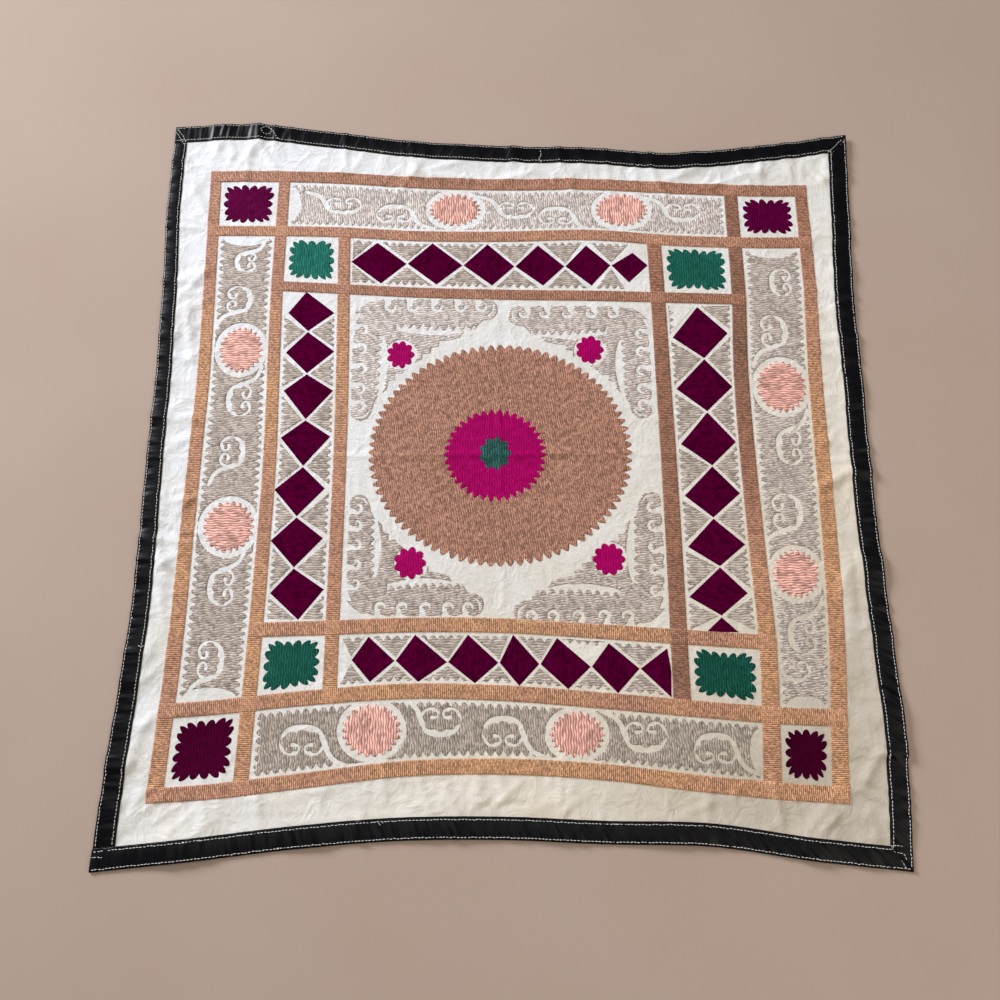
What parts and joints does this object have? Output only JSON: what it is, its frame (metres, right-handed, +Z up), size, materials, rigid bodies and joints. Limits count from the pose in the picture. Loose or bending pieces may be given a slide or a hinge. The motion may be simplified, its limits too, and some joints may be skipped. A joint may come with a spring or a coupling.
{
  "type": "suzani embroidered textile",
  "caption": "Square embroidered cotton cloth with a satin binding and a lattice of stitched bands round a central disc, lying flat.",
  "frame": {"origin": "middle of the cloth's outline, on the surface it lies on", "axes": "+X to the right and +Y to the far edge as the design is seen, +Z up out of the embroidered face"},
  "size_m": [1.2141, 1.2546, 0.0079],
  "materials": {
    "cotton": "hand-woven cotton",
    "satin": "black satin"
  },
  "bodies": {
    "root": {"ground_cloth": "cotton", "binding_bottom": "satin", "binding_right": "satin", "binding_top": "satin", "binding_left": "satin"}
  },
  "joints": []
}
